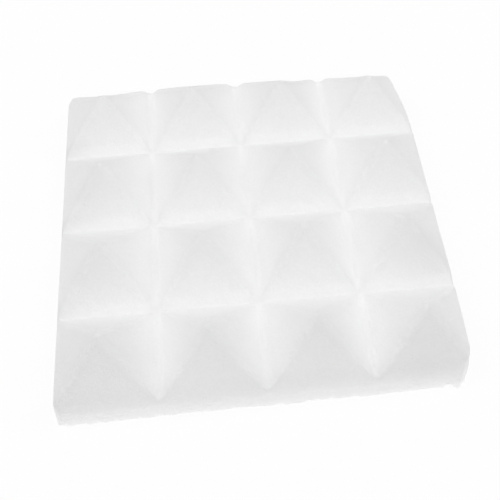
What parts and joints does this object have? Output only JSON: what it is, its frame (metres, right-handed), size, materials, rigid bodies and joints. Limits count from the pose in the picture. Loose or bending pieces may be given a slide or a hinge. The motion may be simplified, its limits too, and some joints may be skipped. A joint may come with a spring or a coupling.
{
  "type": "acoustic foam panel",
  "caption": "Square sound-absorbing foam tile with a flat back, cut walls and a face of soft square pyramids parted by rounded valleys.",
  "frame": {"origin": "middle of the flat back", "axes": "+Z out of the back towards the pyramid tips, +X and +Y along the two rows of pyramids, square to the walls"},
  "size_m": [0.25, 0.25, 0.05],
  "materials": {
    "foam": "white open-cell polyurethane foam, matte, fine pores, cut surface on every side"
  },
  "bodies": {
    "root": {"foam_panel": "foam"}
  },
  "joints": []
}
